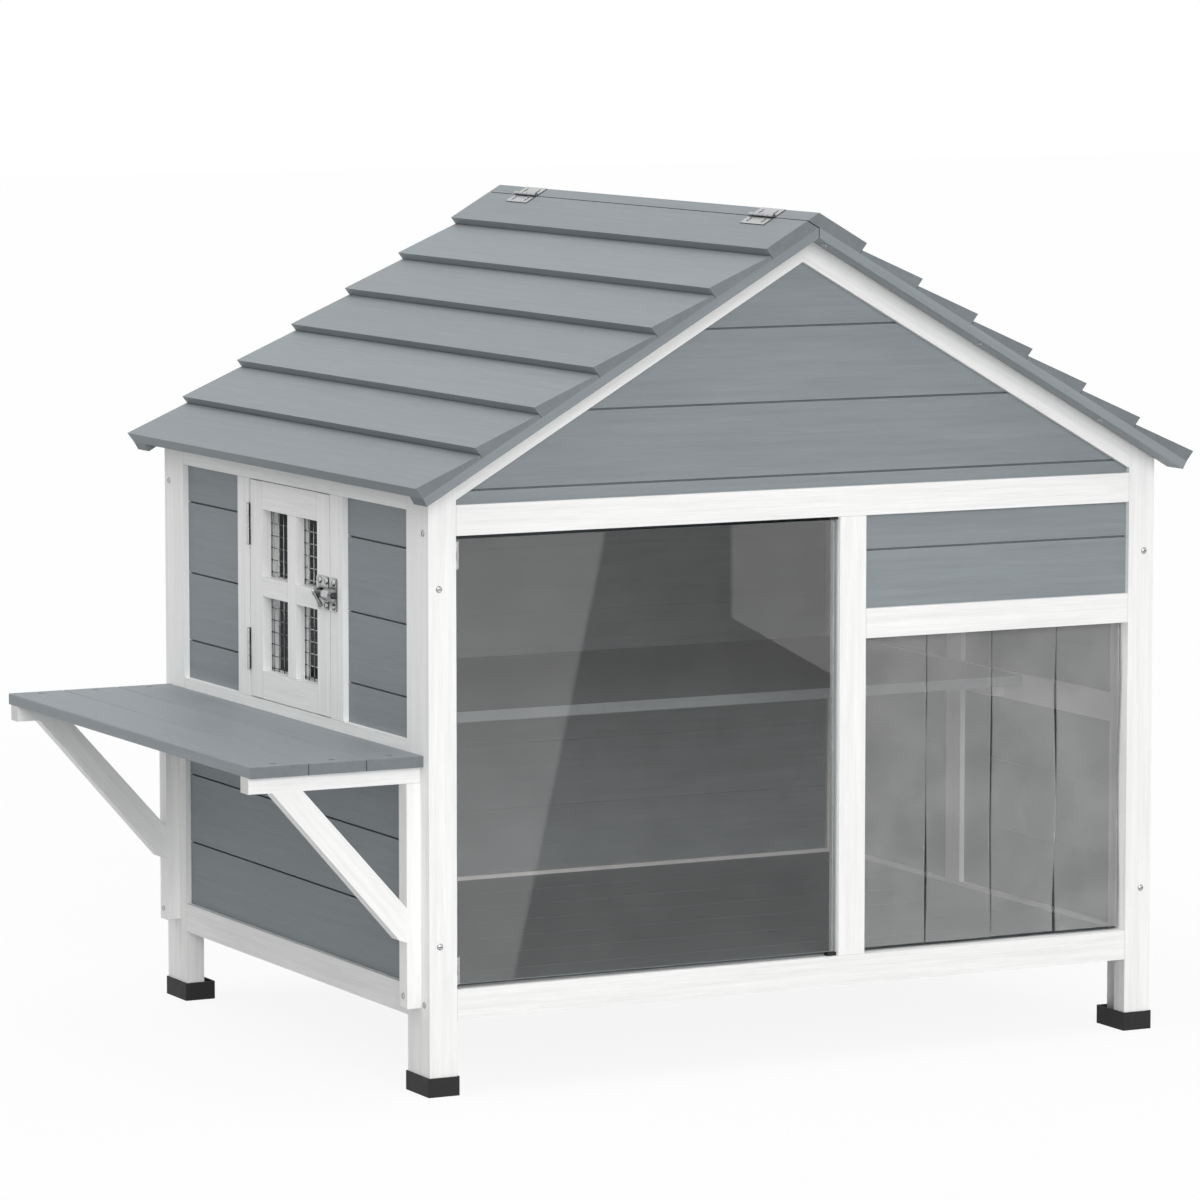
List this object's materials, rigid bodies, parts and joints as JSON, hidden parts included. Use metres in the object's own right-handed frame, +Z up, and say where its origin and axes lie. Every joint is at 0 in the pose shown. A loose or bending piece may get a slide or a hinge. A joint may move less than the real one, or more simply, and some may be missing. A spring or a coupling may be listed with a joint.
{
  "type": "cat house",
  "caption": "Two-level timber cat house with gable roof, hinged roof panel, clear window door, strip-curtain entrance, meshed side hatch and side table.",
  "frame": {"origin": "on the ground under the middle of the whole outline, table and eaves included", "axes": "+X from the side table towards the plain side wall, +Y from the front to the rear wall, +Z up"},
  "size_m": [1.0404, 0.721, 0.8612],
  "materials": {
    "white_paint": "satin paint with fine grain",
    "grey_paint": "satin paint with fine grain",
    "roof_paint": "satin paint",
    "steel": "zinc plated",
    "dark_plastic": "matte",
    "clear_pane": "clear",
    "clear_strip": "clear and soft"
  },
  "bodies": {
    "house": {"bolt_keeper": "steel", "curtain_clamp": "white_paint", "curtain_header": "clear_strip", "entrance_head_rail": "white_paint", "entrance_panel_boards": "grey_paint", "floor_boards": "grey_paint", "floor_joists": "white_paint", "foot_caps": "dark_plastic", "frame_screws": "steel", "front_bottom_rail": "white_paint", "front_gable_boards": "grey_paint", "front_middle_post": "white_paint", "front_rafters": "white_paint", "front_stiles": "white_paint", "front_top_rail": "white_paint", "hardware_screws": "steel", "hatch_jamb_leaves": "steel", "hatch_jambs": "white_paint", "hinge_pins": "steel", "left_lower_boards": "grey_paint", "left_rails": "white_paint", "left_upper_boards": "grey_paint", "loft_cleats": "white_paint", "loft_platform": "grey_paint", "rear_gable_boards": "grey_paint", "rear_rafters": "white_paint", "rear_rails": "white_paint", "rear_stiles": "white_paint", "rear_wall_boards": "grey_paint", "right_posts": "white_paint", "right_rails": "white_paint", "right_wall_boards": "grey_paint", "roof_hinge_ridge_leaves": "steel", "roof_right_battens": "roof_paint", "roof_right_boards": "roof_paint", "side_stiles": "white_paint", "table_boards": "grey_paint", "table_bracket_front": "white_paint", "table_bracket_rear": "white_paint", "table_screws": "steel", "window_catches": "dark_plastic", "window_hinge_brackets": "steel"},
    "roof_lid": {"roof_left_boards": "roof_paint", "roof_left_battens": "roof_paint", "roof_hinge_lid_leaves": "steel", "roof_lid_screws": "steel"},
    "hatch_door": {"hatch_stiles": "white_paint", "hatch_rails": "white_paint", "hatch_muntins": "white_paint", "hatch_mesh": "steel", "hatch_door_leaves": "steel", "bolt_plate": "steel", "bolt_plate_screws": "steel"},
    "bolt": {"bolt_rod": "steel"},
    "window_door": {"window_pane": "clear_pane", "window_hinge_clips": "steel"},
    "strip_1": {"curtain_strip_1": "clear_strip"},
    "strip_2": {"curtain_strip_2": "clear_strip"},
    "strip_3": {"curtain_strip_3": "clear_strip"},
    "strip_4": {"curtain_strip_4": "clear_strip"}
  },
  "joints": [
    {"name": "roof_lid_hinge", "type": "hinge", "parent": "house", "child": "roof_lid", "pos_m": [0.06457, 0, 0.85486], "axis": [0, 1, 0], "range_deg": [0, 160]},
    {"name": "hatch_hinge", "type": "hinge", "parent": "house", "child": "hatch_door", "pos_m": [-0.33818, 0.1025, 0.46225], "axis": [0, 0, -1], "range_deg": [0, 150]},
    {"name": "bolt_slide", "type": "slide", "parent": "hatch_door", "child": "bolt", "axis": [0, -1, 0], "range_m": [0, 0.009]},
    {"name": "window_hinge", "type": "hinge", "parent": "house", "child": "window_door", "pos_m": [-0.30438, -0.3239, 0.329], "axis": [0, 0, -1], "range_deg": [0, 110]},
    {"name": "strip_1_hinge", "type": "hinge", "parent": "house", "child": "strip_1", "pos_m": [0.19275, -0.314, 0.4267], "axis": [1, 0, 0], "range_deg": [-60, 60]},
    {"name": "strip_2_hinge", "type": "hinge", "parent": "house", "child": "strip_2", "pos_m": [0.2698, -0.314, 0.4267], "axis": [1, 0, 0], "range_deg": [-60, 60]},
    {"name": "strip_3_hinge", "type": "hinge", "parent": "house", "child": "strip_3", "pos_m": [0.34685, -0.314, 0.4267], "axis": [1, 0, 0], "range_deg": [-60, 60]},
    {"name": "strip_4_hinge", "type": "hinge", "parent": "house", "child": "strip_4", "pos_m": [0.4239, -0.314, 0.4267], "axis": [1, 0, 0], "range_deg": [-60, 60]}
  ]
}
